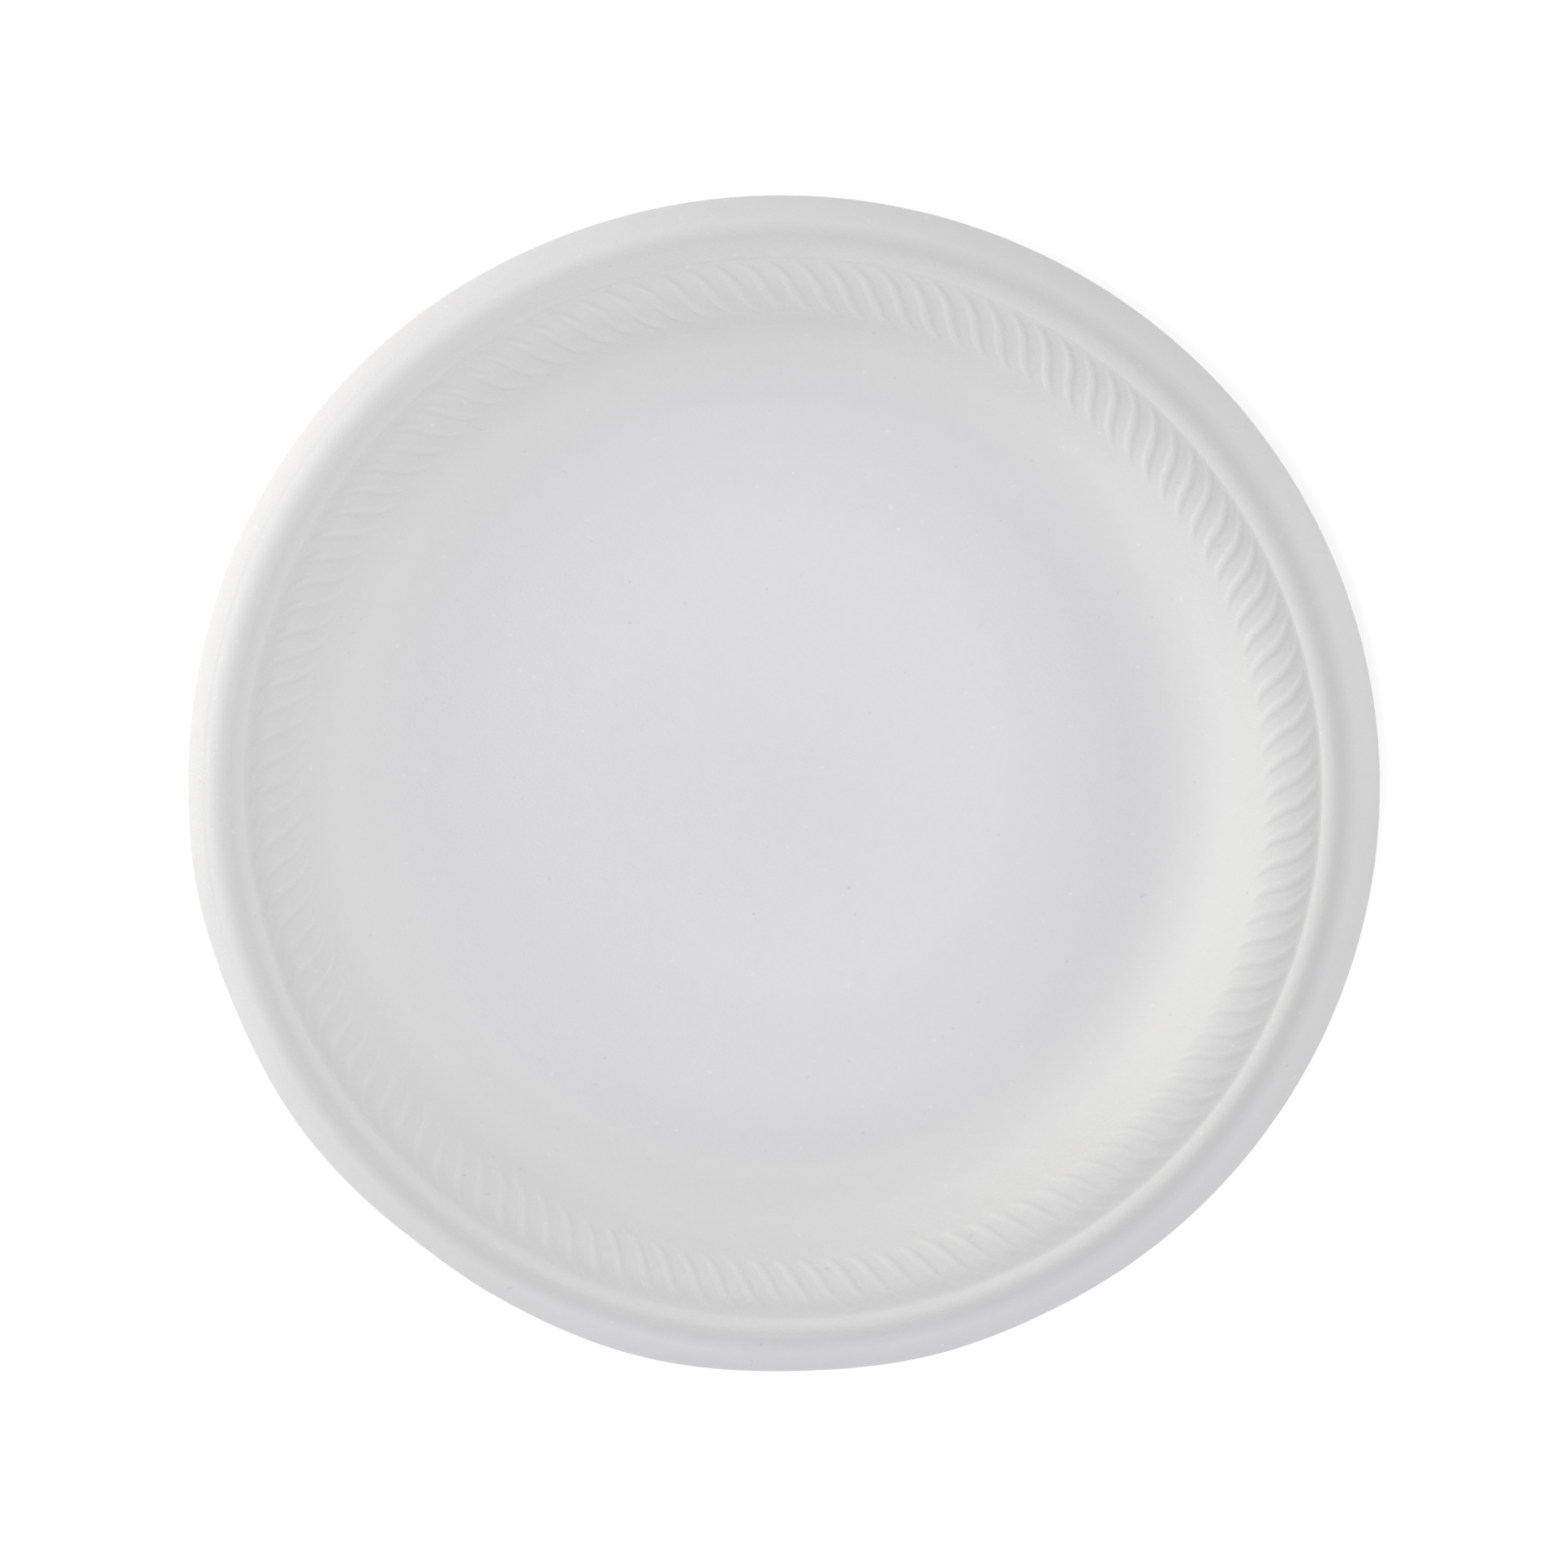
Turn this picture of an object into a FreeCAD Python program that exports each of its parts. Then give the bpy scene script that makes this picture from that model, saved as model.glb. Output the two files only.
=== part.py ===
import FreeCAD, Part
import math
import os

import Sketcher

# One-piece plate thermoformed from foam sheet, in millimetres, +Z up.
# The origin is the centre of the ring that the plate stands on, on the table's surface.
# The section runs outwards from the axis: a raised flat pad, a gentle dome that falls to
# the flat resting ring, a toe and a wall that curve up, a shoulder that carries the
# S-shaped ribs, a narrow level step, and a bead that runs into the rim's rolled-down edge.
# The lower face has the upper one's arc centres, so the sheet is equally thick all over.

driving_sizes = {
    "sheet_thickness": 2.0,
    "pad_radius": 40.0,
    "dome_height": 2.2,
    "ring_inner_radius": 70.0,
    "ring_outer_radius": 72.0,
    "trough_arc": 32.0,
    "toe_arc": 14.0,
    "toe_angle": 36.0,
    "wall_arc": 40.0,
    "wall_angle": 48.5,
    "knee_radius": 90.0,
    "step_inner_radius": 98.6,
    "step_outer_radius": 100.9,
    "bead_crest_radius": 103.7,
    "bead_arc": 4.2,
    "roll_start_radius": 104.5,
    "roll_arc": 13.5,
    "roll_angle": 53.5,
    "edge_round": 0.7,
    "rib_count": 120,
    "rib_first_angle": 1.9,
    "rib_inner_radius": 89.8,
    "rib_outer_radius": 100.9,
    "rib_lean": 1.8,
    "rib_hook": 1.5,
    "rib_height": 0.35,
    "rib_flank_angle": 20.0,
    "rib_depth": 0.65,
}

# How high a rib's crest stands at each place along it, as a part of its full height.
# Places run from -1 at the knee to 1 at the bead, and both ends dip under the shoulder.
rib_swell = {-1.0: -0.3, -0.7: 0.8, 0.0: 1.0, 0.7: 0.8, 1.0: -0.3}

doc = FreeCAD.newDocument("foam_plate")


def make_sheet():
    sheet = doc.addObject("Spreadsheet::Sheet", "Sizes")
    for row, (alias, value) in enumerate(driving_sizes.items(), start=1):
        sheet.set("A%d" % row, alias)
        sheet.set("B%d" % row, str(value))
        sheet.setAlias("B%d" % row, alias)
    doc.recompute()
    return sheet


sizes = make_sheet()


def size(alias):
    return float(sizes.get(alias))


def origin_plane(body, role):
    return next(item for item in body.Origin.OriginFeatures if item.Role == role)


def section_sketch(body, name):
    """A sketch in the half-plane of the section: its x is the radius and its y is the height."""
    sketch = body.newObject("Sketcher::SketchObject", name)
    sketch.AttachmentSupport = (origin_plane(body, "XZ_Plane"), [""])
    sketch.MapMode = "FlatFace"
    return sketch


def add_line(sketch, start, end):
    """Adds a line and gives (geometry number, vertex at its start, vertex at its end)."""
    edge = Part.LineSegment(FreeCAD.Vector(*start, 0), FreeCAD.Vector(*end, 0))
    return sketch.addGeometry(edge), 1, 2


def add_arc(sketch, centre, radius, first, last):
    """Adds an arc from angle first to angle last, in degrees, whichever way round it runs."""
    circle = Part.Circle(FreeCAD.Vector(*centre, 0), FreeCAD.Vector(0, 0, 1), radius)
    low, high = sorted((math.radians(first), math.radians(last)))
    number = sketch.addGeometry(Part.ArcOfCircle(circle, low, high))
    return (number, 1, 2) if first < last else (number, 2, 1)


def join_tangent(sketch, pieces):
    """Joins each piece's end to the next one's start, with a common tangent."""
    for before, after in zip(pieces, pieces[1:]):
        ends = (before[0], before[2], after[0], after[1])
        sketch.addConstraint(Sketcher.Constraint("Tangent", *ends))


def arc_point(centre, radius, angle):
    turn = math.radians(angle)
    return centre[0] + radius * math.cos(turn), centre[1] + radius * math.sin(turn)


class Section:
    """Arc centres, radii and turns of the sheet's upper face, worked out from the sizes."""

    def __init__(self):
        self.thickness = size("sheet_thickness")
        run = size("ring_inner_radius") - size("pad_radius")
        self.fall = 2 * math.degrees(math.atan2(size("dome_height"), run))
        self.dome_arc = run / math.sin(math.radians(self.fall)) - size("trough_arc")
        self.pad_level = self.thickness + size("dome_height")
        self.dome_centre = (size("pad_radius"), self.pad_level - self.dome_arc)
        self.trough_centre = (size("ring_inner_radius"), self.thickness + size("trough_arc"))
        self.toe_centre = (size("ring_outer_radius"), self.thickness + size("toe_arc"))
        toe_end = arc_point(self.toe_centre, size("toe_arc"), size("toe_angle") - 90)
        self.wall_centre = arc_point(toe_end, size("wall_arc"), size("toe_angle") + 90)
        wall_end = arc_point(self.wall_centre, size("wall_arc"), size("wall_angle") - 90)
        slope = math.radians(size("wall_angle"))
        rise = (size("knee_radius") - wall_end[0]) * math.tan(slope)
        knee = (size("knee_radius"), wall_end[1] + rise)
        run = size("step_inner_radius") - size("knee_radius")
        self.shoulder_arc = run / math.sin(slope)
        self.shoulder_centre = arc_point(knee, self.shoulder_arc, size("wall_angle") - 90)
        self.step_level = self.shoulder_centre[1] + self.shoulder_arc
        self.foot = (size("step_outer_radius"), self.step_level)
        reach = size("bead_crest_radius") - size("step_outer_radius")
        self.foot_turn = math.degrees(math.asin(reach / size("bead_arc")))
        self.bead_centre = arc_point(self.foot, size("bead_arc"), self.foot_turn - 90)
        run = size("roll_start_radius") - size("bead_crest_radius")
        self.roll_start = 90 - math.degrees(math.asin(run / size("bead_arc")))
        inset = size("bead_arc") - size("roll_arc")
        self.roll_centre = arc_point(self.bead_centre, inset, self.roll_start)

    def edge_corner(self, reach):
        """Centre of an arc that rounds a corner of the cut edge, and its turn about the roll.

        reach is how far that centre lies from the roll's.
        """
        turn = 90 - size("roll_angle") + math.degrees(math.asin(size("edge_round") / reach))
        return arc_point(self.roll_centre, reach, turn), turn


section = Section()


def draw_face(sketch, drop, crown):
    """Draws one face of the sheet outwards from the axis, drop below the upper face.

    crown lists the arcs between the level step and the cut edge.
    """
    ring_inner = size("ring_inner_radius")
    ring_outer = size("ring_outer_radius")
    toe_end = size("toe_angle") - 90
    slope_turn = size("wall_angle") - 90
    pad = section.pad_level - drop
    ring = section.thickness - drop
    trough = size("trough_arc") + drop
    wall = size("wall_arc") + drop
    slope_start = arc_point(section.wall_centre, wall, slope_turn)
    shoulder = (section.shoulder_centre, section.shoulder_arc - drop)
    knee = arc_point(*shoulder, slope_turn + 180)
    step = section.step_level - drop
    dome = (section.dome_centre, section.dome_arc - drop, 90, 90 - section.fall)
    face = {
        "pad": add_line(sketch, (0, pad), (size("pad_radius"), pad)),
        "dome": add_arc(sketch, *dome),
        "trough": add_arc(sketch, section.trough_centre, trough, -90 - section.fall, -90),
        "ring": add_line(sketch, (ring_inner, ring), (ring_outer, ring)),
        "toe": add_arc(sketch, section.toe_centre, size("toe_arc") + drop, -90, toe_end),
        "wall": add_arc(sketch, section.wall_centre, wall, toe_end, slope_turn),
        "slope": add_line(sketch, slope_start, knee),
        "shoulder": add_arc(sketch, *shoulder, slope_turn + 180, 90),
        "step": add_line(
            sketch, (size("step_inner_radius"), step), (size("step_outer_radius"), step)
        ),
    }
    for name, arc in crown.items():
        face[name] = add_arc(sketch, *arc)
    return face


def draw_sheet_section(body):
    """The whole section of the sheet: upper face, cut edge, lower face and axis."""
    sketch = section_sketch(body, "sheet_section")
    thickness = section.thickness
    edge_round = size("edge_round")
    edge_turn = 90 - size("roll_angle")
    bead_start = section.foot_turn + 90
    roll_start = section.roll_start
    bead_arc = size("bead_arc")
    roll_arc = size("roll_arc")
    outer_centre, outer_turn = section.edge_corner(roll_arc - edge_round)
    inner_centre, inner_turn = section.edge_corner(roll_arc - thickness + edge_round)
    upper = draw_face(sketch, 0, {
        "bead": (section.bead_centre, bead_arc, bead_start, roll_start),
        "roll": (section.roll_centre, roll_arc, roll_start, outer_turn),
        "corner": (outer_centre, edge_round, outer_turn, edge_turn - 90),
    })
    lower = draw_face(sketch, thickness, {
        "foot": (section.foot, thickness, -90, section.foot_turn - 90),
        "bead": (section.bead_centre, bead_arc - thickness, bead_start, roll_start),
        "roll": (section.roll_centre, roll_arc - thickness, roll_start, inner_turn),
        "corner": (inner_centre, edge_round, inner_turn - 180, edge_turn - 90),
    })
    cut_edge, cut_start, cut_end = add_line(
        sketch,
        arc_point(inner_centre, edge_round, edge_turn - 90),
        arc_point(outer_centre, edge_round, edge_turn - 90),
    )
    axis = add_line(sketch, (0, section.pad_level - thickness), (0, section.pad_level))

    def fix(kind, *where):
        sketch.addConstraint(Sketcher.Constraint(kind, *where))

    pieces = list(upper.values())
    to_bead = pieces.index(upper["bead"])
    join_tangent(sketch, pieces[:to_bead])
    join_tangent(sketch, pieces[to_bead:] + [(cut_edge, cut_end, cut_start)])
    join_tangent(sketch, list(lower.values()) + [(cut_edge, cut_start, cut_end)])
    fix("Coincident", upper["step"][0], upper["step"][2], upper["bead"][0], upper["bead"][1])
    fix("Coincident", upper["step"][0], upper["step"][2], lower["foot"][0], 3)
    for face, at_axis in ((upper, 2), (lower, 1)):
        fix("Coincident", axis[0], at_axis, face["pad"][0], face["pad"][1])
        fix("PointOnObject", axis[0], at_axis, -2)
        fix("Horizontal", face["pad"][0])
        fix("Horizontal", face["ring"][0])
        fix("Horizontal", face["step"][0])
    fix("PointOnObject", lower["ring"][0], 1, -1)
    for name in ("dome", "trough", "toe", "wall", "shoulder", "bead", "roll"):
        fix("Coincident", upper[name][0], 3, lower[name][0], 3)
    fix("Parallel", upper["slope"][0], lower["slope"][0])
    fix("PointOnObject", upper["roll"][0], 3, cut_edge)

    def bind(kind, name, where, value, expression):
        number = sketch.addConstraint(Sketcher.Constraint(kind, *where, value))
        sketch.renameConstraint(number, name)
        sketch.setExpression("Constraints." + name, expression)

    radial = {
        "pad_radius": (upper["pad"][0], 2),
        "ring_inner_radius": (upper["ring"][0], 1),
        "ring_outer_radius": (upper["ring"][0], 2),
        "knee_radius": (upper["slope"][0], 2),
        "step_inner_radius": (upper["step"][0], 1),
        "step_outer_radius": (upper["step"][0], 2),
        "bead_crest_radius": (upper["bead"][0], 3),
        "roll_start_radius": (upper["roll"][0], upper["roll"][1]),
    }
    for alias, vertex in radial.items():
        bind("DistanceX", alias, (-1, 1, *vertex), size(alias), "Sizes." + alias)
    for name in ("trough", "toe", "wall", "bead", "roll"):
        alias = name + "_arc"
        bind("Radius", alias, (upper[name][0],), size(alias), "Sizes." + alias)
    ring_start = (upper["ring"][0], 1)
    pad_start = (upper["pad"][0], 1)
    bind("DistanceY", "thickness", (-1, 1, *ring_start), thickness, "Sizes.sheet_thickness")
    rise = size("dome_height")
    bind("DistanceY", "dome_height", (*ring_start, *pad_start), rise, "Sizes.dome_height")
    turn = math.radians(size("toe_angle"))
    bind("Angle", "toe_turn", (upper["toe"][0],), turn, "Sizes.toe_angle * 1 deg")
    turn = math.radians(size("wall_angle") - size("toe_angle"))
    expression = "(Sizes.wall_angle - Sizes.toe_angle) * 1 deg"
    bind("Angle", "wall_turn", (upper["wall"][0],), turn, expression)
    bind("Angle", "cut_lean", (cut_edge,), math.radians(edge_turn), "(90 - Sizes.roll_angle) * 1 deg")
    for name, face in (("outer_round", upper), ("inner_round", lower)):
        bind("Radius", name, (face["corner"][0],), edge_round, "Sizes.edge_round")

    def measure(kind, name, where):
        number = sketch.addConstraint(Sketcher.Constraint(kind, *where, 1.0))
        sketch.setDriving(number, False)
        sketch.renameConstraint(number, name)

    measure("Radius", "shoulder_arc", (upper["shoulder"][0],))
    measure("DistanceY", "shoulder_centre", (-1, 1, upper["shoulder"][0], 3))
    return sketch


def rib_section(body, place, swell):
    """A rib's two flanks and buried foot, upright and square to the radius at one place.

    The sketch's origin is the rib's crest, and its attachment carries it along the S.
    """
    sketch = body.newObject("Sketcher::SketchObject", "rib_section")
    sketch.AttachmentSupport = (origin_plane(body, "YZ_Plane"), [""])
    sketch.MapMode = "FlatFace"
    depth = size("rib_depth")
    flank = math.radians(size("rib_flank_angle"))
    reach = depth / math.tan(flank)
    left = add_line(sketch, (0, 0), (-reach, -depth))[0]
    foot = add_line(sketch, (-reach, -depth), (reach, -depth))[0]
    right = add_line(sketch, (reach, -depth), (0, 0))[0]
    for before, after in ((left, foot), (foot, right), (right, left)):
        sketch.addConstraint(Sketcher.Constraint("Coincident", before, 2, after, 1))
    sketch.addConstraint(Sketcher.Constraint("Coincident", left, 1, -1, 1))
    sketch.addConstraint(Sketcher.Constraint("Symmetric", foot, 1, foot, 2, -2))
    number = sketch.addConstraint(Sketcher.Constraint("DistanceY", foot, 1, -1, 1, depth))
    sketch.setExpression("Constraints[%d]" % number, "Sizes.rib_depth")
    number = sketch.addConstraint(Sketcher.Constraint("Angle", left, 2, foot, 1, flank))
    sketch.setExpression("Constraints[%d]" % number, "Sizes.rib_flank_angle * 1 deg")

    middle = "(Sizes.rib_outer_radius + Sizes.rib_inner_radius) / 2"
    half = "(Sizes.rib_outer_radius - Sizes.rib_inner_radius) / 2"
    radius = "(%s + %g * %s) * 1 mm" % (middle, place, half)
    lean = "Sizes.rib_lean * %g + Sizes.rib_hook * %g" % (place, place**3)
    turn = "(Sizes.rib_first_angle + %s) * 1 deg" % lean
    inwards = "max(Sizes.step_inner_radius * 1 mm - %s; 0 mm)" % radius
    centre = "sheet_section.Constraints.shoulder_centre"
    rise = "sqrt(sheet_section.Constraints.shoulder_arc ^ 2 - %s ^ 2)" % inwards
    crest = "%g * Sizes.rib_height * 1 mm" % swell
    upright = FreeCAD.Rotation(FreeCAD.Vector(0, 1, 0), 1)
    sketch.AttachmentOffset = FreeCAD.Placement(FreeCAD.Vector(), upright)
    sketch.setExpression("AttachmentOffset.Base.x", "%s * sin(%s)" % (radius, turn))
    sketch.setExpression("AttachmentOffset.Base.y", "%s + %s + %s" % (centre, rise, crest))
    sketch.setExpression("AttachmentOffset.Base.z", "%s * cos(%s)" % (radius, turn))
    sketch.setExpression("AttachmentOffset.Rotation.Angle", turn)
    return sketch


def require_constrained(sketch):
    if not sketch.FullyConstrained:
        raise RuntimeError(sketch.Name + " isn't fully constrained")


def make_plate():
    body = doc.addObject("PartDesign::Body", "Plate")
    body.Label = "plate"
    sheet_section = draw_sheet_section(body)
    doc.recompute()
    require_constrained(sheet_section)

    formed_sheet = body.newObject("PartDesign::Revolution", "formed_sheet")
    formed_sheet.Profile = sheet_section
    formed_sheet.ReferenceAxis = (sheet_section, ["V_Axis"])
    formed_sheet.Angle = 360
    doc.recompute()

    stations = [rib_section(body, place, swell) for place, swell in rib_swell.items()]
    doc.recompute()
    for station in stations:
        require_constrained(station)
    rib = body.newObject("PartDesign::AdditiveLoft", "rib")
    rib.Profile = stations[0]
    rib.Sections = stations[1:]
    doc.recompute()

    rib_band = body.newObject("PartDesign::PolarPattern", "rib_band")
    rib_band.Originals = [rib]
    rib_band.Axis = (origin_plane(body, "Z_Axis"), [""])
    rib_band.Angle = 360
    rib_band.setExpression("Occurrences", "Sizes.rib_count")
    body.Tip = rib_band
    body.Placement = FreeCAD.Placement()
    doc.recompute()
    return body


def check_document():
    for item in doc.Objects:
        if "Invalid" in item.State or "Error" in item.State:
            raise RuntimeError(item.Name + " failed: " + str(item.State))


def save(part):
    if part.Shape.isNull() or not part.Shape.isValid():
        raise RuntimeError(part.Label + " has no valid shape")
    os.makedirs("parts", exist_ok=True)
    part.Shape.exportStep("parts/%s.step" % part.Label)
    print(part.Label, "%.0f cubic mm" % part.Shape.Volume)


plate = make_plate()
check_document()
save(plate)
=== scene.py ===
import bpy
import math
import numpy as np
from mathutils import Matrix, Vector


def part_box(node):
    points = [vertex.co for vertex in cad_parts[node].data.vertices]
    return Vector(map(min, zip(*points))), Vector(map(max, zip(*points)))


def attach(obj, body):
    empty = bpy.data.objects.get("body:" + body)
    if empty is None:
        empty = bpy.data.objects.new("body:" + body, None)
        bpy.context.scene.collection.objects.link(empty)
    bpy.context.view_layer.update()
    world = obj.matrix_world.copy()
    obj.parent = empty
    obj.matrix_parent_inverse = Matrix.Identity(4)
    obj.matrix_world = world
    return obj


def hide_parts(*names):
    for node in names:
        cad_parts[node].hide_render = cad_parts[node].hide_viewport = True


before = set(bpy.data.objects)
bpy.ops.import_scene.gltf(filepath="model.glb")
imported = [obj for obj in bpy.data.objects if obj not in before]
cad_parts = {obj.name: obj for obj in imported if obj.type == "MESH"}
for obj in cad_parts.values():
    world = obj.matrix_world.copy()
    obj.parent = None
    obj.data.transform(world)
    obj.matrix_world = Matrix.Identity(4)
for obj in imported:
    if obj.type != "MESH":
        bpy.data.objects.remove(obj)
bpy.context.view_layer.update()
mm = 0.001
lowCorner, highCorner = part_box("plate")
print("frame loaded, plate is %.1f mm wide" % ((highCorner.x - lowCorner.x) / mm))


# plate: one sheet of foam, a closed section turned once round the axis
plate = {
    "thickness": 2.0,           # mm, all lengths below too
    "padRadius": 40.0,
    "domeHeight": 2.2,          # pad above the resting ring
    "ringInner": 70.0,
    "ringOuter": 72.0,
    "troughArc": 32.0,
    "toeArc": 14.0,
    "toeAngle": 36.0,           # degrees above level where the toe becomes the wall
    "wallArc": 40.0,
    "wallAngle": 48.5,
    "kneeRadius": 90.0,
    "stepInner": 98.6,
    "stepOuter": 101.15,
    "beadCrest": 103.93,
    "beadArc": 4.2,
    "rollStart": 104.75,
    "rollArc": 13.0,
    "rollAngle": 53.8,
    "edgeRound": 0.7,
    "foldRadius": 88.1,         # hairline fold below the ribs
    "foldDepth": 0.06,
    "foldWidth": 0.5,
    "wrinkleRadius": 108.8,     # hairline wrinkle along part of the roll
    "wrinkleDepth": 0.05,
    "wrinkleWidth": 0.4,
    "wrinkleSpan": (100, 240),  # degrees
    "wrinkleFade": 20,          # degrees over which each of its ends dies away
    "crimpFrom": 108.0,         # small crimps all round the trimmed rim, from this radius out
    "crimpGrow": 4.0,           # and in full after this much more
    "crimpDepth": 0.04,
    "crimpWaves": (             # each a sine: turns round the rim, start in radians
        (61, 0.4),
        (97, 2.0),
        (143, 4.1),
    ),
    "bendFrom": 100.0,          # the bends, likewise
    "bendGrow": 12.0,
    "bends": (                  # where the trimmed rim stands in from its circle, or out if
        (134, 28, -0.4),        # less than nothing: degrees, half width in degrees, mm
        (157, 13, -0.22),
        (190, 11, -0.35),
        (215, 13, -0.45),
        (232.5, 8, 0.33),
        (256, 17, -0.68),
        (285, 13, -0.38),
        (310, 24, -0.1),
    ),
}
ribs = {
    "count": 120,
    "first": 1.9,               # degrees, where one rib's middle stands
    "inner": 89.8,
    "outer": 101.0,
    "lean": 1.8,                # degrees of turn each side of the middle, straight part
    "hook": 1.5,                # and the part that bends the two ends into an S
    "height": 0.29,
    "halfWidth": 0.31,          # of the pitch, from the middle to the foot
    "flank": 0.26,              # of the pitch
    "swellIn": 0.2,             # of the rib's length, at the knee
    "fadeOut": 0.3,             # and at the bead
    "columns": 18,              # in one pitch, a multiple of both steps below
    "rimStep": 2,               # rows at the rim take every second column
    "restStep": 6,              # and the other rows outside the ribs every sixth
    "crowding": 0.4,            # how much closer the columns stand over the ridge
}


# the point of a circle at an angle in degrees
def onArc(centre, radius, angle):
    return np.array([centre[0] + radius * math.cos(math.radians(angle)),
                     centre[1] + radius * math.sin(math.radians(angle))])


# points from angle first to last about a centre, the last one left to the next piece
def arcPoints(centre, radius, first, last, count):
    turn = np.radians(np.linspace(first, last, count, endpoint=False))
    return np.stack([centre[0] + radius * np.cos(turn), centre[1] + radius * np.sin(turn)], 1)


def linePoints(start, end, count):
    share = np.linspace(0, 1, count, endpoint=False)[:, None]
    return np.asarray(start) * (1 - share) + np.asarray(end) * share


# The closed section as (radius, height) points in mm: arcs and lines that meet at a tangent,
# out along the upper face, round the cut edge and back under to the axis.
def plateSection(p):
    t = p["thickness"]
    run = p["ringInner"] - p["padRadius"]
    fall = 2 * math.degrees(math.atan2(p["domeHeight"], run))
    domeArc = run / math.sin(math.radians(fall)) - p["troughArc"]
    padLevel = t + p["domeHeight"]
    domeAt = (p["padRadius"], padLevel - domeArc)
    troughAt = (p["ringInner"], t + p["troughArc"])
    toeAt = (p["ringOuter"], t + p["toeArc"])
    toeTurn = p["toeAngle"] - 90
    wallTurn = p["wallAngle"] - 90
    wallAt = onArc(onArc(toeAt, p["toeArc"], toeTurn), p["wallArc"], toeTurn + 180)
    wallEnd = onArc(wallAt, p["wallArc"], wallTurn)
    slope = math.radians(p["wallAngle"])
    knee = (p["kneeRadius"], wallEnd[1] + (p["kneeRadius"] - wallEnd[0]) * math.tan(slope))
    shoulderArc = (p["stepInner"] - p["kneeRadius"]) / math.sin(slope)
    shoulderAt = onArc(knee, shoulderArc, wallTurn)
    stepLevel = shoulderAt[1] + shoulderArc
    foot = (p["stepOuter"], stepLevel)
    footTurn = math.degrees(math.asin((p["beadCrest"] - p["stepOuter"]) / p["beadArc"]))
    beadAt = onArc(foot, p["beadArc"], footTurn - 90)
    joinTurn = 90 - math.degrees(math.asin((p["rollStart"] - p["beadCrest"]) / p["beadArc"]))
    rollAt = onArc(beadAt, p["beadArc"] - p["rollArc"], joinTurn)
    # the cut edge's two corners are rounded by arcs that touch the face and the cut
    e = p["edgeRound"]
    cutTurn = 90 - p["rollAngle"]
    outerArc = p["rollArc"] - e
    innerArc = p["rollArc"] - t + e
    outerTurn = cutTurn + math.degrees(math.asin(e / outerArc))
    innerTurn = cutTurn + math.degrees(math.asin(e / innerArc))
    outerAt = onArc(rollAt, outerArc, outerTurn)
    innerAt = onArc(rollAt, innerArc, innerTurn)
    upper = [
        linePoints((0, padLevel), (p["padRadius"], padLevel), 7),
        arcPoints(domeAt, domeArc, 90, 90 - fall, 5),
        arcPoints(troughAt, p["troughArc"], -90 - fall, -90, 3),
        linePoints((p["ringInner"], t), (p["ringOuter"], t), 1),
        arcPoints(toeAt, p["toeArc"], -90, toeTurn, 7),
        arcPoints(wallAt, p["wallArc"], toeTurn, wallTurn, 4),
        foldPoints(p, wallEnd, knee),
        arcPoints(shoulderAt, shoulderArc, wallTurn + 180, 90, 19),
        linePoints((p["stepInner"], stepLevel), foot, 5),
        arcPoints(beadAt, p["beadArc"], footTurn + 90, joinTurn, 9),
        rollPoints(p, rollAt, joinTurn, outerTurn),
    ]
    edge = [
        arcPoints(outerAt, e, outerTurn, cutTurn - 90, 3),
        arcPoints(innerAt, e, cutTurn - 90, innerTurn - 180, 3),
    ]
    lower = [
        arcPoints(rollAt, p["rollArc"] - t, innerTurn, joinTurn, 5),
        arcPoints(beadAt, p["beadArc"] - t, joinTurn, footTurn + 90, 4),
        arcPoints(foot, t, footTurn - 90, -90, 3),
        linePoints((p["stepOuter"], stepLevel - t), (p["stepInner"], stepLevel - t), 1),
        arcPoints(shoulderAt, shoulderArc - t, 90, wallTurn + 180, 5),
        linePoints(onArc(shoulderAt, shoulderArc - t, wallTurn + 180),
                   onArc(wallAt, p["wallArc"] + t, wallTurn), 1),
        arcPoints(wallAt, p["wallArc"] + t, wallTurn, toeTurn, 2),
        arcPoints(toeAt, p["toeArc"] + t, toeTurn, -90, 5),
        linePoints((p["ringOuter"], 0), (p["ringInner"], 0), 1),
        arcPoints(troughAt, p["troughArc"] + t, -90, -90 - fall, 2),
        arcPoints(domeAt, domeArc - t, 90 - fall, 90, 3),
        linePoints((p["padRadius"], padLevel - t), (0, padLevel - t), 4),
        np.array([[0, padLevel - t]]),
    ]
    return [np.concatenate(side) for side in (upper, edge, lower)]


# the straight slope with a hairline fold: of three close points at foldRadius, the middle
# one dips by foldDepth
def foldPoints(p, start, end):
    run = np.array(end) - np.array(start)
    middle = (p["foldRadius"] - start[0]) / run[0]
    half = p["foldWidth"] / 2 / run[0]
    share = np.array([0, middle - half, middle, middle + half])[:, None]
    points = np.asarray(start) + run * share
    points[2] += np.array([run[1], -run[0]]) / math.hypot(*run) * p["foldDepth"]
    return points


# the roll's arc, with close points where the wrinkle runs
def rollPoints(p, centre, first, last):
    sides = p["wrinkleRadius"] + np.array([-0.5, 0.5]) * p["wrinkleWidth"]
    before, after = 90 - np.degrees(np.arcsin((sides - centre[0]) / p["rollArc"]))
    return np.concatenate([arcPoints(centre, p["rollArc"], first, before, 5),
                           arcPoints(centre, p["rollArc"], before, after, 2),
                           arcPoints(centre, p["rollArc"], after, last, 6)])


def smooth(x):
    x = np.clip(x, 0, 1)
    return x * x * (3 - 2 * x)


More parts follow.
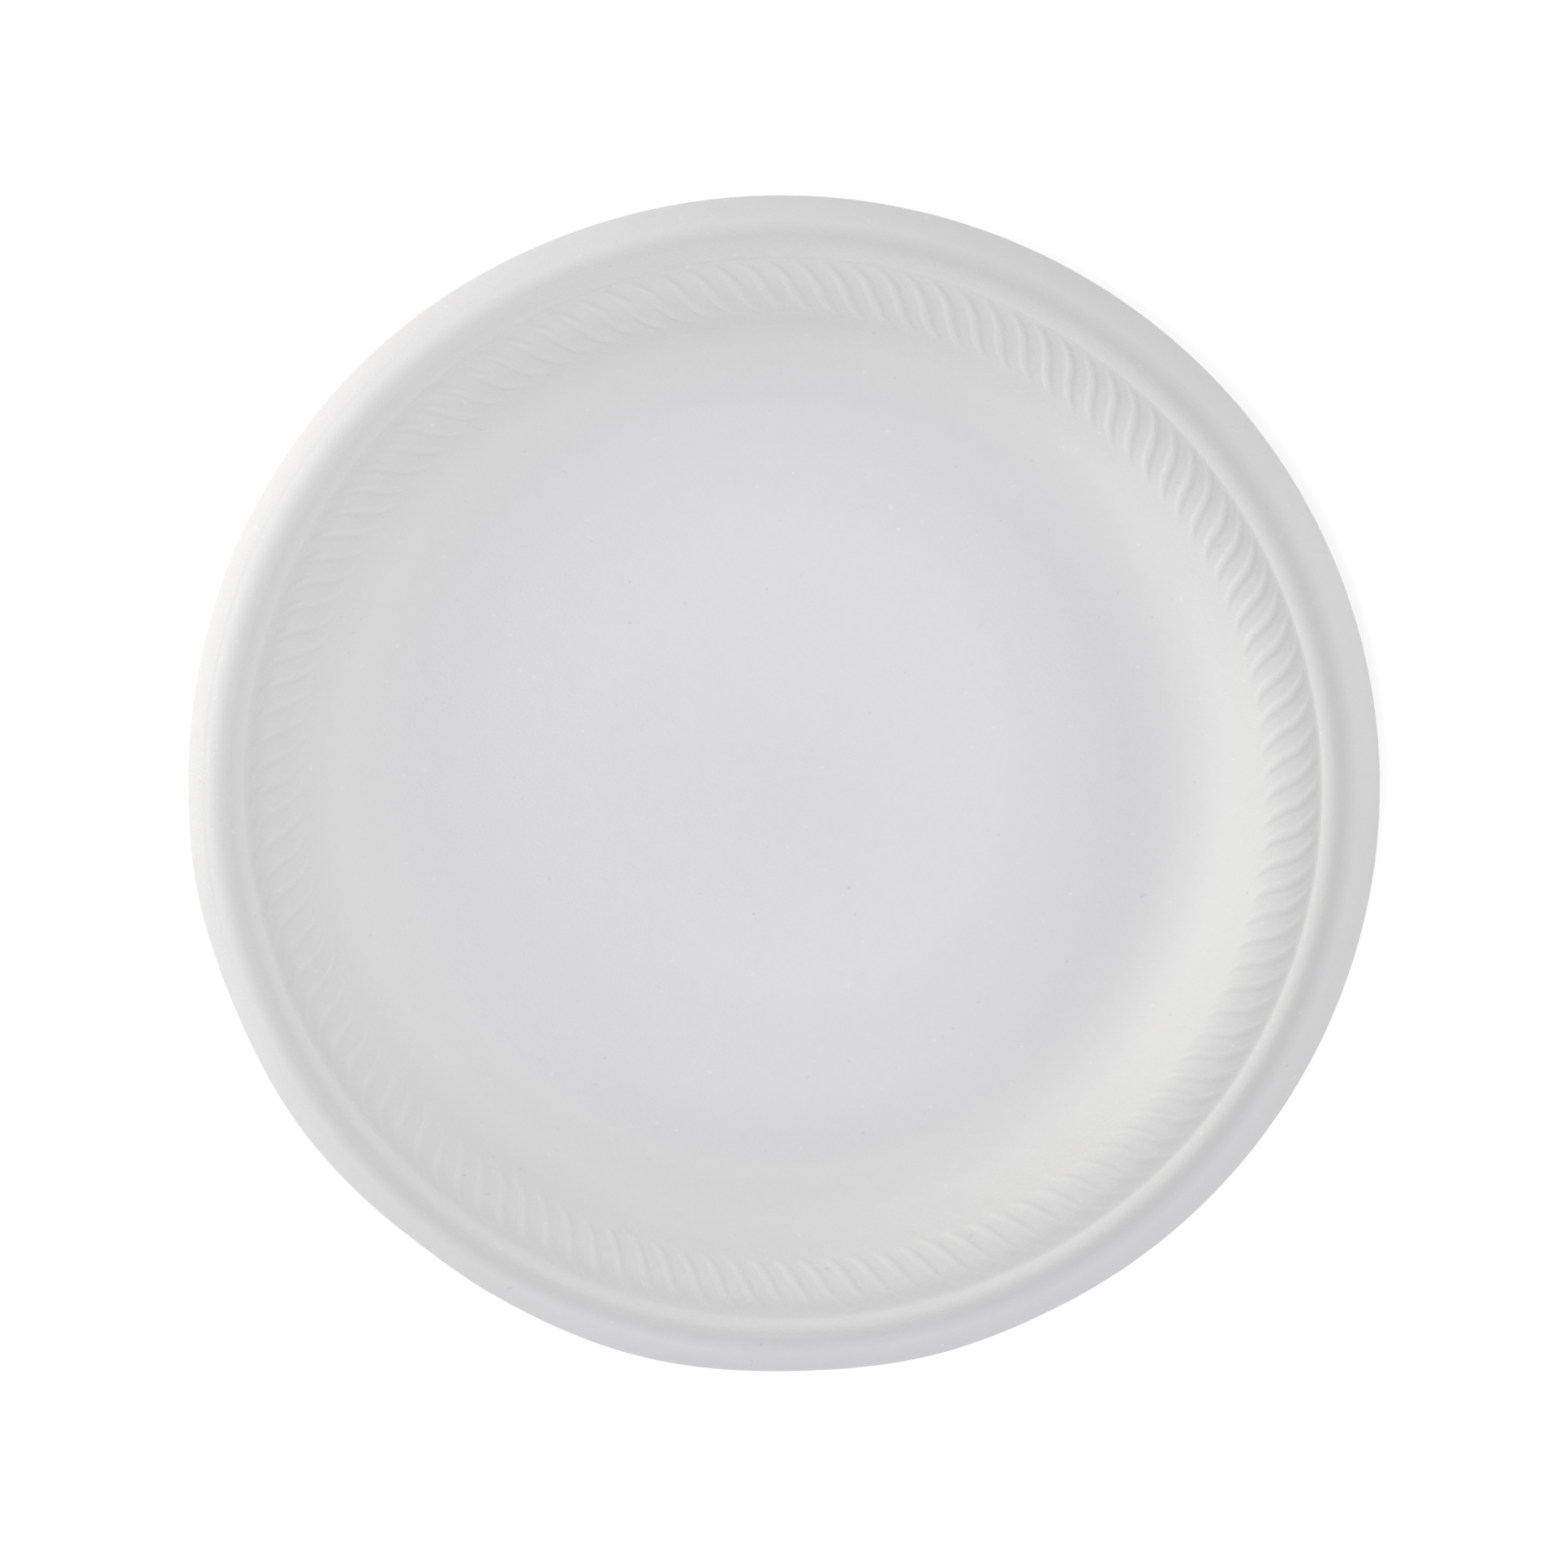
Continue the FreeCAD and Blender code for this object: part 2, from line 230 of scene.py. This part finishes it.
# Height of the ribs over the shoulder, in mm: along a rib it swells in over swellIn of its
# length and fades out over fadeOut of it, and across one pitch it rises over the flank from
# the foot at halfWidth to a narrow level top. Between two ribs it is nothing.
def ribRelief(r, place, across):
    s = np.clip((place + 1) / 2, 0, 1)
    swell = smooth(s / r["swellIn"]) * np.clip((1 - s) / r["fadeOut"], 0, 1)
    x = np.abs((across + 0.5) % 1 - 0.5)
    return swell * r["height"] * smooth((r["halfWidth"] - x) / r["flank"])


# How far the trimmed rim stands in from its circle, in mm: each bend is a smooth hump of its
# own depth, and the crimps are the sines' mean, brought between 0 and crimpDepth. Both grow
# smoothly outwards from their own radius.
def rimStray(p, radius, angle):
    degrees = np.degrees(angle) % 360
    bends = sum(depth * smooth(1 - np.abs(degrees - middle) / half)
                for middle, half, depth in p["bends"])
    waves = sum(np.sin(turns * angle + start) for turns, start in p["crimpWaves"])
    crimps = p["crimpDepth"] * (waves / len(p["crimpWaves"]) / 2 + 0.5)
    return (smooth((radius - p["bendFrom"]) / p["bendGrow"]) * bends
            + smooth((radius - p["crimpFrom"]) / p["crimpGrow"]) * crimps)


# depth of the wrinkle, in mm: nothing outside its span, growing over wrinkleFade at each end
def wrinkleDepth(p, angle):
    degrees = np.degrees(angle) % 360
    first, last = p["wrinkleSpan"]
    fade = p["wrinkleFade"]
    return p["wrinkleDepth"] * smooth((degrees - first) / fade) * smooth((last - degrees) / fade)


# faces between two closed rings of points, where the rings are as long as each other or one
# is a whole number of times longer, and then each point of the short ring gets a fan
def bridge(near, far):
    if len(near) == len(far):
        return np.stack([near, far, np.roll(far, -1), np.roll(near, -1)], -1).tolist()
    short, long = (near, far) if len(near) < len(far) else (far, near)
    times = len(long) // len(short)
    fans = np.append(long, long[0])[np.arange(len(short))[:, None] * times + np.arange(times + 1)]
    faces = []
    for i in range(times):
        hub = short if i < times // 2 else np.roll(short, -1)
        faces.append(np.stack([hub, fans[:, i], fans[:, i + 1]], -1))
    faces.append(np.stack([short, fans[:, times // 2], np.roll(short, -1)], -1))
    faces = np.concatenate(faces)
    return (faces if short is near else faces[:, ::-1]).tolist()


def newMesh(name, points, faces, smoothShade=True):
    mesh = bpy.data.meshes.new(name)
    mesh.from_pydata(points.tolist(), [], faces)
    mesh.update()
    mesh.polygons.foreach_set("use_smooth", [smoothShade] * len(mesh.polygons))
    piece = bpy.data.objects.new(name, mesh)
    bpy.context.scene.collection.objects.link(piece)
    return piece


# share of a pitch at which each column of one rib stands: even steps, drawn towards the
# ridge by crowding * sin(2 pi share) / (2 pi)
def columnShares(r):
    share = np.arange(r["columns"]) / r["columns"]
    return share - r["crowding"] * np.sin(2 * math.pi * share) / (2 * math.pi)


# unit normals of the section: its tangent turned a quarter, away from the foam
def sectionNormals(section):
    tangent = np.gradient(section, axis=0)
    normal = np.stack([-tangent[:, 1], tangent[:, 0]], 1)
    return normal / np.linalg.norm(normal, axis=1)[:, None]


# Surface of two parameters: place along the section and angle round the axis. Each column
# turns with the ribs' S, angle + lean * u + hook * u^3 with u from -1 at the knee to 1 at
# the bead, so that columns run along the ribs, and the relief is added along the normal.
# Gives the rows of points between the section's ends, and which columns each row takes:
# every one in the ribs, every rimStep-th at the rim and every restStep-th elsewhere.
def plateRows(p, r, section, topCount):
    normal = sectionNormals(section)[1:-1, :, None]
    radius = section[1:-1, 0, None]
    across = np.tile(columnShares(r), r["count"])
    turn = (np.repeat(np.arange(r["count"]), r["columns"]) + across) * 2 * math.pi / r["count"]
    place = np.clip((2 * radius - r["inner"] - r["outer"]) / (r["outer"] - r["inner"]), -1, 1)
    angle = turn + np.radians(r["first"] + r["lean"] * place + r["hook"] * place**3)
    onTop = (np.arange(len(section))[1:-1] < topCount)[:, None]
    inBand = onTop & (radius > r["inner"]) & (radius < r["outer"])
    onWrinkle = onTop & (np.abs(radius - p["wrinkleRadius"]) < p["wrinkleWidth"] / 4)
    relief = np.where(inBand, ribRelief(r, place, across), 0)
    relief = np.where(onWrinkle, -wrinkleDepth(p, angle), relief)
    out = radius + relief * normal[:, 0] - rimStray(p, radius, angle)
    height = section[1:-1, 1, None] + relief * normal[:, 1]
    rows = np.stack([out * np.cos(angle), out * np.sin(angle), height], -1)
    atRim = radius > p["crimpFrom"]
    step = np.where(inBand, 1, np.where(atRim, r["rimStep"], r["restStep"]))[:, 0]
    return [row[::every] for row, every in zip(rows, step)]


# the rows as closed rings, bridged one to the next, and a fan to a pole at each end
def makePlate(p, r):
    upper, edge, lower = plateSection(p)
    section = np.concatenate([upper, edge, lower])
    rows = plateRows(p, r, section, len(upper))
    ends = np.cumsum([len(row) for row in rows])
    rings = [np.arange(end - len(row), end) for row, end in zip(rows, ends)]
    faces = [face for near, far in zip(rings, rings[1:]) for face in bridge(near, far)]
    poles = [[0, 0, section[0, 1]], [0, 0, section[-1, 1]]]
    for pole, ring in ((ends[-1], rings[0]), (ends[-1] + 1, rings[-1][::-1])):
        faces += np.stack([np.full(len(ring), pole), ring, np.roll(ring, -1)], -1).tolist()
    return newMesh("foam_plate", np.concatenate(rows + [poles]) * mm, faces)


platePiece = makePlate(plate, ribs)
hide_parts("plate")
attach(platePiece, "root")
print("plate made, %d faces" % len(platePiece.data.polygons))


def srgb(code):
    parts = [int(code[i:i + 2], 16) / 255 for i in (1, 3, 5)]
    return [c / 12.92 if c <= 0.04045 else ((c + 0.055) / 1.055) ** 2.4 for c in parts] + [1.0]


# adds a node, sets its properties and its inputs; an input given an output socket is linked
def addNode(tree, kind, settings=None, inputs=None):
    node = tree.nodes.new("ShaderNode" + kind)
    for key, value in (settings or {}).items():
        setattr(node, key, value)
    for key, value in (inputs or {}).items():
        if isinstance(value, bpy.types.NodeSocket):
            tree.links.new(value, node.inputs[key])
        else:
            node.inputs[key].default_value = value
    return node


foam = {
    "paintedLightAndShade": (                  # radius in mm and colour, painted light and shade: darker at the trough, over the crown and beyond the bead's crest, lighter on the pad, the bead's inner flank and the outer roll
        (0, "#ECECEE"),         # sheet lets more light through there and looks greyer, but
        (40, "#EFEFF1"),        # for the bead's foot, where it is pressed dense
        (62, "#EEEEF0"),
        (74, "#EAEAEB"),
        (84, "#ECECEC"),
        (94, "#E3E3E3"),
        (100.6, "#E2E2E2"),
        (101.4, "#E7E7E7"),
        (103.8, "#DFDFDF"),
        (105.5, "#E0E0E1"),
        (108, "#EDEDEE"),
    ),
    "roughness": 0.55,
    "ior": 1.59,                # polystyrene
    "subsurface": 0.5,
    "lightReach": 1.0,          # mm that light strays inside the cells
    "cellWidth": 0.45,          # mm
    "cellDepth": 0.055,
    "swellWidth": 9.0,          # mm, of the sheet's slow unevenness
    "swellDepth": 0.05,
    "fleckSpacing": 1.3,        # mm, of the noise whose rare extremes are the flecks
    "flecks": (                 # level of that noise and how bright it leaves the foam
        (0.0, 0.92),
        (0.12, 0.92),
        (0.15, 1.0),
        (0.83, 1.0),
        (0.86, 1.05),
    ),
}


# a colour ramp over level, from stops of position and colour
def addRamp(tree, level, stops):
    ramp = addNode(tree, "ValToRGB", None, {"Fac": level})
    elements = ramp.color_ramp.elements
    while len(elements) < len(stops):
        elements.new(0.5)
    for element, (position, colour) in zip(elements, stops):
        element.position = position
        element.color = colour
    return ramp.outputs["Color"]


# painted light and shade by distance from the axis: the position's length without its height,
# through a ramp
def paintedLightAndShadeByRadius(tree, place, paintedLightAndShade):
    level = addNode(tree, "VectorMath", {"operation": "MULTIPLY"}, {0: place, 1: (1, 1, 0)})
    reach = addNode(tree, "VectorMath", {"operation": "LENGTH"}, {0: level.outputs[0]})
    last = paintedLightAndShade[-1][0] * mm
    share = addNode(tree, "Math", {"operation": "DIVIDE"}, {0: reach.outputs["Value"], 1: last})
    stops = [(radius * mm / last, srgb(colour)) for radius, colour in paintedLightAndShade]
    return addRamp(tree, share.outputs[0], stops)


# rare tiny marks: a fine noise through a ramp that is 1 but for the noise's two extremes
def fleckTone(tree, place, f):
    noise = addNode(tree, "TexNoise", None, {"Vector": place, "Detail": 0.0,
                                             "Scale": 1 / (f["fleckSpacing"] * mm)})
    stops = [(level, (tone, tone, tone, 1)) for level, tone in f["flecks"]]
    return addRamp(tree, noise.outputs["Fac"], stops)


# Thermoformed expanded polystyrene sheet: white, with a closed skin over fine cells, so the
# eye sees a matte surface with a very fine grain, rare flecks where a cell has burst or
# stands proud, and a slight unevenness from the forming. Its base colour also has light and
# shade painted in by radius.
def foamMaterial(f):
    material = bpy.data.materials.new("thermoformedPolystyreneFoam")
    material.use_nodes = True
    tree = material.node_tree
    shader = tree.nodes["Principled BSDF"]
    place = addNode(tree, "TexCoord").outputs["Object"]
    cells = addNode(tree, "TexNoise", None, {"Vector": place, "Scale": 1 / (f["cellWidth"] * mm),
                                             "Detail": 0.0})
    cellBump = addNode(tree, "Bump", None, {"Height": cells.outputs["Fac"], "Strength": 1.0,
                                            "Distance": f["cellDepth"] * mm})
    swell = addNode(tree, "TexNoise", None, {"Vector": place, "Scale": 1 / (f["swellWidth"] * mm),
                                             "Detail": 2.0})
    swellBump = addNode(tree, "Bump", None, {"Height": swell.outputs["Fac"], "Strength": 1.0,
                                             "Distance": f["swellDepth"] * mm,
                                             "Normal": cellBump.outputs["Normal"]})
    tree.links.new(swellBump.outputs["Normal"], shader.inputs["Normal"])
    # base colour: light and shade painted in by radius, times the flecks
    colour = addNode(tree, "VectorMath", {"operation": "MULTIPLY"},
                     {0: paintedLightAndShadeByRadius(tree, place, f["paintedLightAndShade"]), 1: fleckTone(tree, place, f)})
    tree.links.new(colour.outputs[0], shader.inputs["Base Color"])
    shader.inputs["Roughness"].default_value = f["roughness"]
    shader.inputs["IOR"].default_value = f["ior"]
    shader.inputs["Subsurface Weight"].default_value = f["subsurface"]
    shader.inputs["Subsurface Radius"].default_value = (1, 1, 1)
    shader.inputs["Subsurface Scale"].default_value = f["lightReach"] * mm
    return material


platePiece.data.materials.append(foamMaterial(foam))
print("foam material made")


# the floor and the light all round
stage = {
    "floorColour": "#F2F2F2",
    "floorSize": 4.0,           # m
    "floorRoughness": 0.9,
    "floorGlow": 0.6,           # only where the floor is seen, so that it looks white
    "worldColour": "#FEFEFF",
    "worldStrength": 0.344,     # as light; where it is seen it is white
}
# azimuth and elevation in degrees, distance and size in metres
lamps = {
    "keyLow": {"azimuth": 180, "elevation": 6, "distance": 1.2, "size": 0.25, "watts": 2.32,
               "colour": "#FFFFF7"},
    "keyFar": {"azimuth": 150, "elevation": 6, "distance": 1.2, "size": 0.25, "watts": 2.71,
               "colour": "#FFFFF4"},
    "keyNear": {"azimuth": 150, "elevation": 30, "distance": 0.6, "size": 0.3, "watts": 0.40,
                "colour": "#FFFBFD"},
    "rightFill": {"azimuth": 15, "elevation": 12, "distance": 1.2, "size": 0.6, "watts": 2.75,
                  "colour": "#FFFFFB"},
    "nearFill": {"azimuth": 270, "elevation": 35, "distance": 0.6, "size": 0.3, "watts": 0.465,
                 "colour": "#FCFDFF"},
    "overhead": {"azimuth": 90, "elevation": 84, "distance": 0.4, "size": 0.15, "watts": 0.45,
                 "colour": "#FFFFFF"},
}


# turn of a lamp or camera that looks forward, with upHint up in its picture
def lookRotation(forward, upHint):
    right = Vector(forward).cross(Vector(upHint)).normalized()
    up = right.cross(Vector(forward)).normalized()
    return Matrix((right, up, -Vector(forward).normalized())).transposed()


def addLamp(name, lamp):
    data = bpy.data.lights.new(name, "AREA")
    data.energy = lamp["watts"]
    data.size = lamp["size"]
    data.color = srgb(lamp["colour"])[:3]
    piece = bpy.data.objects.new(name, data)
    a, e = math.radians(lamp["azimuth"]), math.radians(lamp["elevation"])
    way = Vector((math.cos(e) * math.cos(a), math.cos(e) * math.sin(a), math.sin(e)))
    place = Matrix.Translation(way * lamp["distance"])
    piece.matrix_world = place @ lookRotation(-way, (0, 0, 1)).to_4x4()
    piece.visible_camera = False
    bpy.context.scene.collection.objects.link(piece)


# 1 for what is looked at straight, in a gloss or through something clear, 0 for light that
# falls on things
def seenDirectly(tree):
    path = addNode(tree, "LightPath").outputs
    seen = addNode(tree, "Math", {"operation": "MAXIMUM"},
                   {0: path["Is Camera Ray"], 1: path["Is Glossy Ray"]})
    seen = addNode(tree, "Math", {"operation": "MAXIMUM"},
                   {0: seen.outputs[0], 1: path["Is Transmission Ray"]})
    return seen.outputs[0]


# White paper: it shades and takes the shadow as usual, and where it is seen it also has a
# glow that brings the open floor up to white.
def paperMaterial(s):
    material = bpy.data.materials.new("mattWhitePaper")
    material.use_nodes = True
    tree = material.node_tree
    shader = tree.nodes["Principled BSDF"]
    shader.inputs["Base Color"].default_value = srgb(s["floorColour"])
    shader.inputs["Roughness"].default_value = s["floorRoughness"]
    glow = addNode(tree, "Math", {"operation": "MULTIPLY"},
                   {0: seenDirectly(tree), 1: s["floorGlow"]})
    tree.links.new(glow.outputs[0], shader.inputs["Emission Strength"])
    shader.inputs["Emission Color"].default_value = (1, 1, 1, 1)
    material.cycles.emission_sampling = "NONE"
    return material


def makeStage(s):
    half = s["floorSize"] / 2
    corners = np.array([[-half, -half, 0], [half, -half, 0], [half, half, 0], [-half, half, 0]])
    floor = newMesh("floor", corners, [[0, 1, 2, 3]], smoothShade=False)
    floor.data.materials.append(paperMaterial(s))
    world = bpy.data.worlds.new("studio")
    bpy.context.scene.world = world
    world.use_nodes = True
    background = world.node_tree.nodes["Background"]
    background.inputs["Color"].default_value = srgb(s["worldColour"])
    strength = addNode(world.node_tree, "Math", {"operation": "MULTIPLY_ADD"},
                       {0: seenDirectly(world.node_tree), 1: 1 - s["worldStrength"],
                        2: s["worldStrength"]})
    world.node_tree.links.new(strength.outputs[0], background.inputs["Strength"])


makeStage(stage)
for name, lamp in lamps.items():
    addLamp(name, lamp)
print("stage made, %d lamps" % len(lamps))


# camera: looks almost straight down, from a little beyond the far side of the plate
view = {
    "tilt": (0.0305, 0.1658),   # x and y of the way from the plate to the camera
    "distance": 1.226,
    "aim": (0.0003, 0.0015, 0.014),
    "lens": 149.3,              # mm
    "sensorWidth": 36.0,        # mm
    "clipStart": 0.01,
}


def makeCamera(v):
    x, y = v["tilt"]
    way = Vector((x, y, math.sqrt(1 - x * x - y * y)))
    data = bpy.data.cameras.new("camera")
    data.lens = v["lens"]
    data.sensor_width = v["sensorWidth"]
    data.clip_start = v["clipStart"]
    camera = bpy.data.objects.new("camera", data)
    place = Matrix.Translation(Vector(v["aim"]) + way * v["distance"])
    camera.matrix_world = place @ lookRotation(-way, (0, 1, 0)).to_4x4()
    bpy.context.scene.collection.objects.link(camera)
    bpy.context.scene.camera = camera


makeCamera(view)
bpy.context.scene.view_settings.view_transform = "Standard"
print("camera made")
